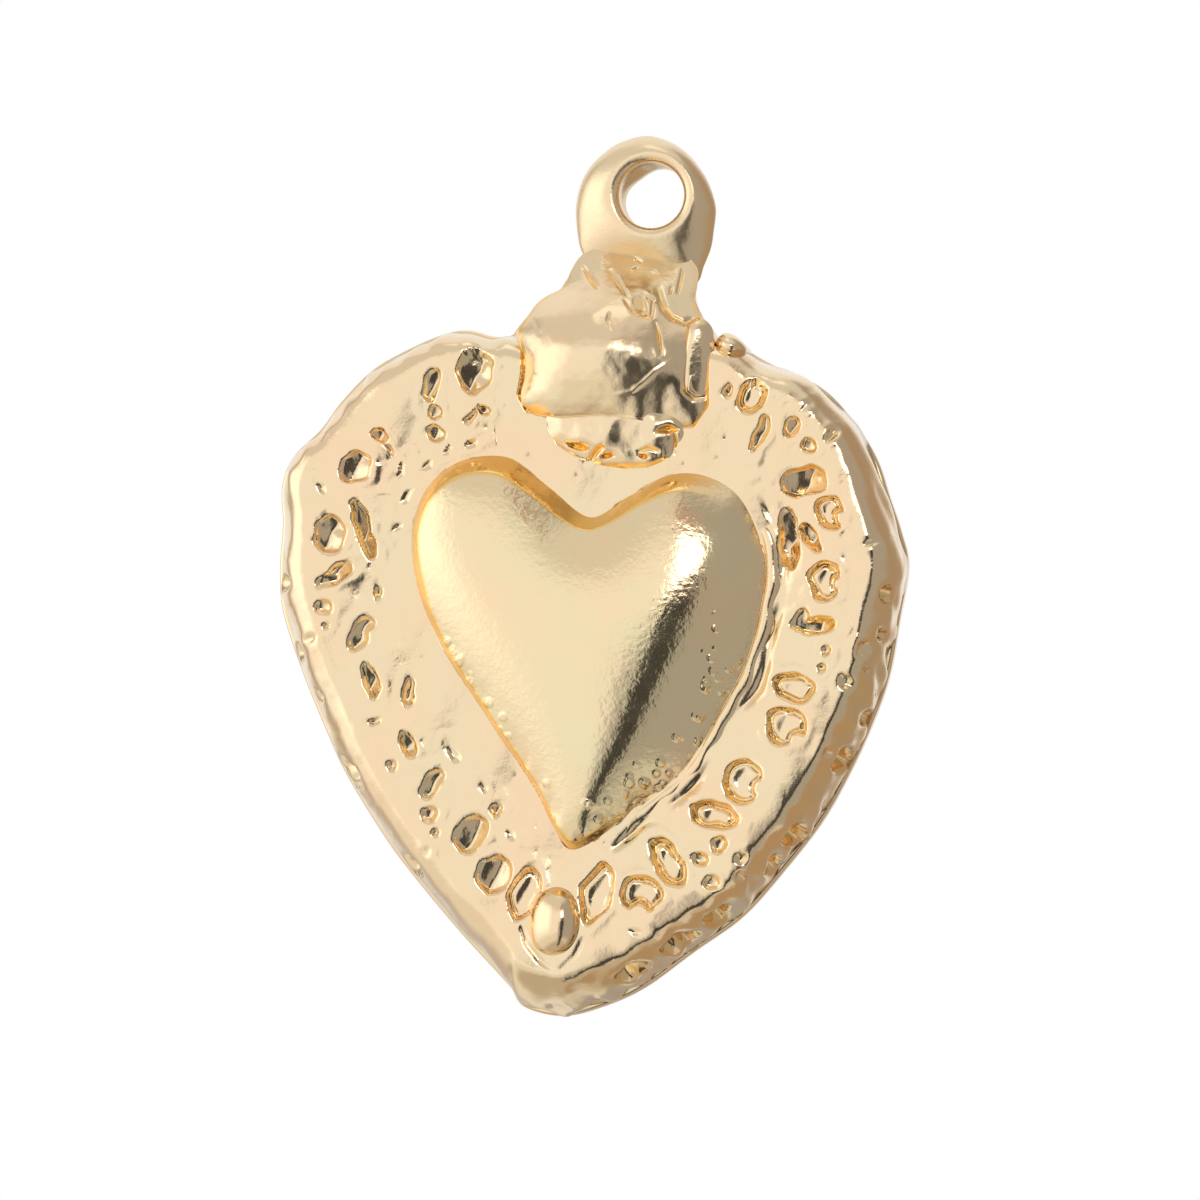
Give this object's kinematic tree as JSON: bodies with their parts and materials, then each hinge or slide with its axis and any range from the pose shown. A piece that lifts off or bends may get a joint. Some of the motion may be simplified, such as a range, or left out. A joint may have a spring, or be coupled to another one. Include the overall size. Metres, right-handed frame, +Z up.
{
  "type": "heart pendant",
  "caption": "Puffed heart in a wide pillow border with a flame finial and a fixed eye, a votive charm that hangs from a jump ring.",
  "frame": {"origin": "centre of the eye's hole, at half the neck's thickness", "axes": "+Z up, from the heart's tip towards the eye; -Y out of the front; +X to the right as seen from the front"},
  "size_m": [0.0194, 0.0051, 0.0269],
  "materials": {
    "plate_gold": "light gold plate, softly hammered",
    "border_gold": "polished light gold plate with punched marks",
    "dome_gold": "polished light gold plate, fine orange peel",
    "flame_gold": "polished light gold plate with tooled gouges",
    "eye_gold": "polished light gold plate",
    "bead_gold": "polished light gold plate"
  },
  "bodies": {
    "root": {"back_plate": "plate_gold", "border_shell": "border_gold", "heart_dome": "dome_gold", "heart_bezel": "border_gold", "flame_bulb": "flame_gold", "flame_leaf": "flame_gold", "cleft_collar": "flame_gold", "bail_eye": "eye_gold", "tip_bead": "bead_gold", "side_bead": "bead_gold"}
  },
  "joints": []
}
